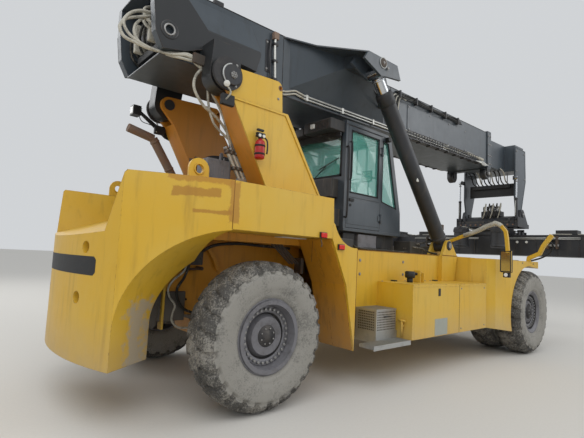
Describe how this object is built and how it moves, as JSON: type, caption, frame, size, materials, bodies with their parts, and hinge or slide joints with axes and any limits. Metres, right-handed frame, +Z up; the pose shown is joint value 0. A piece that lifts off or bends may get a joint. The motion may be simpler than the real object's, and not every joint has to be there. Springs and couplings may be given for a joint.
{
  "type": "reach stacker",
  "caption": "Wheeled container handler with a telescopic boom, a slewing spreader that lengthens, a glazed cab, twin front wheels and steered rear wheels.",
  "frame": {"origin": "on the ground, in the middle of the overall length and width", "axes": "+X forward towards the spreader, +Y to the machine's left, +Z up"},
  "size_m": [11.949, 6.058, 4.9769],
  "materials": {
    "yellow_paint": "faded gloss paint with dirt and rust at edges",
    "slate_paint": "dull paint, chalky and scuffed",
    "black_paint": "satin paint with dust",
    "grey_rim": "worn paint",
    "tyre": "dusty rubber",
    "bright_rod": "polished",
    "plain_steel": "dull",
    "cast_block": "rough cast",
    "aluminium_steps": "mill finish",
    "rusty_pipe": "rusted",
    "tinted_glass": "clear, light green tint",
    "cab_plastic": "grained"
  },
  "bodies": {
    "chassis": {"counterweight": "yellow_paint", "rear_fenders": "yellow_paint", "mudguards": "yellow_paint", "rear_frame": "yellow_paint", "main_frame": "yellow_paint", "front_frame": "yellow_paint", "lift_lugs": "yellow_paint", "boom_towers": "yellow_paint", "boom_pins": "plain_steel", "engine_block": "cast_block", "engine_hood": "black_paint", "exhaust_pipe": "rusty_pipe", "side_tanks": "yellow_paint", "steps": "aluminium_steps", "front_fenders": "yellow_paint", "drive_axle": "black_paint", "steer_axle": "black_paint", "cab_base": "black_paint", "cab_shell": "slate_paint", "cab_glass": "tinted_glass", "cab_interior": "cab_plastic", "work_lamp": "black_paint", "mirrors": "yellow_paint", "tower_pipes": "plain_steel"},
    "boom_outer": {"boom_outer": "slate_paint", "boom_pipes": "plain_steel"},
    "boom_inner": {"boom_inner": "slate_paint"},
    "tilt_yoke": {"tilt_yoke": "black_paint"},
    "damper_barrels": {"damper_barrels": "black_paint"},
    "damper_rods": {"damper_rods": "bright_rod"},
    "slew_frame": {"slew_frame": "black_paint"},
    "spreader_frame": {"spreader_frame": "black_paint"},
    "cab_door_left": {"cab_door_left": "slate_paint", "door_glass_left": "tinted_glass"},
    "knuckle_left": {"knuckle_left": "black_paint"},
    "rear_wheel_left": {"rear_tyre_left": "tyre", "rear_rim_left": "grey_rim"},
    "front_wheel_left": {"front_tyres_left": "tyre", "front_hub_left": "grey_rim"},
    "lift_barrel_left": {"lift_barrel_left": "black_paint"},
    "lift_rod_left": {"lift_rod_left": "bright_rod"},
    "spreader_arm_left": {"spreader_arm_left": "black_paint"},
    "cab_door_right": {"cab_door_right": "slate_paint", "door_glass_right": "tinted_glass"},
    "knuckle_right": {"knuckle_right": "black_paint"},
    "rear_wheel_right": {"rear_tyre_right": "tyre", "rear_rim_right": "grey_rim"},
    "front_wheel_right": {"front_tyres_right": "tyre", "front_hub_right": "grey_rim"},
    "lift_barrel_right": {"lift_barrel_right": "black_paint"},
    "lift_rod_right": {"lift_rod_right": "bright_rod"},
    "spreader_arm_right": {"spreader_arm_right": "black_paint"}
  },
  "joints": [
    {"name": "front_wheel_left", "type": "hinge", "parent": "chassis", "child": "front_wheel_left", "pos_m": [1.9555, 1.4875, 0.8], "axis": [0, 1, 0], "continuous": true},
    {"name": "steer_left", "type": "hinge", "parent": "chassis", "child": "knuckle_left", "pos_m": [-4.2445, 0.96, 0.8], "axis": [0, 0, 1], "range_deg": [-45, 45]},
    {"name": "rear_wheel_left", "type": "hinge", "parent": "knuckle_left", "child": "rear_wheel_left", "pos_m": [-4.2445, 1.305, 0.8], "axis": [0, 1, 0], "continuous": true},
    {"name": "cab_door_left", "type": "hinge", "parent": "chassis", "child": "cab_door_left", "pos_m": [-1.3705, 0.748, 2.9], "axis": [0, 0, -1], "range_deg": [0, 35]},
    {"name": "front_wheel_right", "type": "hinge", "parent": "chassis", "child": "front_wheel_right", "pos_m": [1.9555, -1.4875, 0.8], "axis": [0, 1, 0], "continuous": true},
    {"name": "steer_right", "type": "hinge", "parent": "chassis", "child": "knuckle_right", "pos_m": [-4.2445, -0.96, 0.8], "axis": [0, 0, 1], "range_deg": [-45, 45]},
    {"name": "rear_wheel_right", "type": "hinge", "parent": "knuckle_right", "child": "rear_wheel_right", "pos_m": [-4.2445, -1.305, 0.8], "axis": [0, 1, 0], "continuous": true},
    {"name": "cab_door_right", "type": "hinge", "parent": "chassis", "child": "cab_door_right", "pos_m": [-1.3705, -0.748, 2.9], "axis": [0, 0, 1], "range_deg": [0, 35]},
    {"name": "boom_luff", "type": "hinge", "parent": "chassis", "child": "boom_outer", "pos_m": [-4.6245, 0, 3.73], "axis": [0, -1, 0], "range_deg": [0, 58]},
    {"name": "boom_telescope", "type": "slide", "parent": "boom_outer", "child": "boom_inner", "axis": [0.9997, 0, 0.0227], "range_m": [0, 6]},
    {"name": "lift_barrel_left", "type": "hinge", "parent": "chassis", "child": "lift_barrel_left", "pos_m": [-0.0545, 1.125, 1.98], "axis": [0, -1, 0], "range_deg": [0, 3.22]},
    {"name": "lift_rod_left", "type": "slide", "parent": "lift_barrel_left", "child": "lift_rod_left", "axis": [-0.6317, 0, 0.7752], "range_m": [0, 2.5309]},
    {"name": "lift_barrel_right", "type": "hinge", "parent": "chassis", "child": "lift_barrel_right", "pos_m": [-0.0545, -1.125, 1.98], "axis": [0, -1, 0], "range_deg": [0, 3.22]},
    {"name": "lift_rod_right", "type": "slide", "parent": "lift_barrel_right", "child": "lift_rod_right", "axis": [-0.6317, 0, 0.7752], "range_m": [0, 2.5309]},
    {"name": "spreader_tilt", "type": "hinge", "parent": "boom_inner", "child": "tilt_yoke", "pos_m": [4.7255, 0, 3.05], "axis": [0, -1, 0], "range_deg": [-58, 0]},
    {"name": "damper_turn", "type": "hinge", "parent": "tilt_yoke", "child": "damper_barrels", "pos_m": [4.3755, 0, 2.9], "axis": [0, -1, 0], "range_deg": [0, 61]},
    {"name": "damper_stroke", "type": "slide", "parent": "damper_barrels", "child": "damper_rods", "axis": [0, 0, 1], "range_m": [-0.36685, 0]},
    {"name": "spreader_slew", "type": "hinge", "parent": "tilt_yoke", "child": "slew_frame", "pos_m": [4.7555, 0, 2.65], "axis": [0, 0, 1], "range_deg": [-105, 195]},
    {"name": "side_shift", "type": "slide", "parent": "slew_frame", "child": "spreader_frame", "axis": [0, -1, 0], "range_m": [-0.8, 0.8]},
    {"name": "arm_left", "type": "slide", "parent": "spreader_frame", "child": "spreader_arm_left", "axis": [0, 1, 0], "range_m": [0, 3.067]},
    {"name": "arm_right", "type": "slide", "parent": "spreader_frame", "child": "spreader_arm_right", "axis": [0, -1, 0], "range_m": [0, 3.067]}
  ],
  "couplings": [
    {"joint": "steer_right", "follows": "steer_left", "ratio": 1},
    {"joint": "lift_barrel_left", "follows": "boom_luff", "ratio": 0.055413},
    {"joint": "lift_rod_left", "follows": "boom_luff", "m_per_rad": 2.4997},
    {"joint": "lift_barrel_right", "follows": "boom_luff", "ratio": 0.055413},
    {"joint": "lift_rod_right", "follows": "boom_luff", "m_per_rad": 2.4997},
    {"joint": "spreader_tilt", "follows": "boom_luff", "ratio": -1},
    {"joint": "damper_turn", "follows": "boom_luff", "ratio": 1.0517},
    {"joint": "damper_stroke", "follows": "boom_luff", "m_per_rad": -0.3619},
    {"joint": "arm_right", "follows": "arm_left", "ratio": 1}
  ]
}
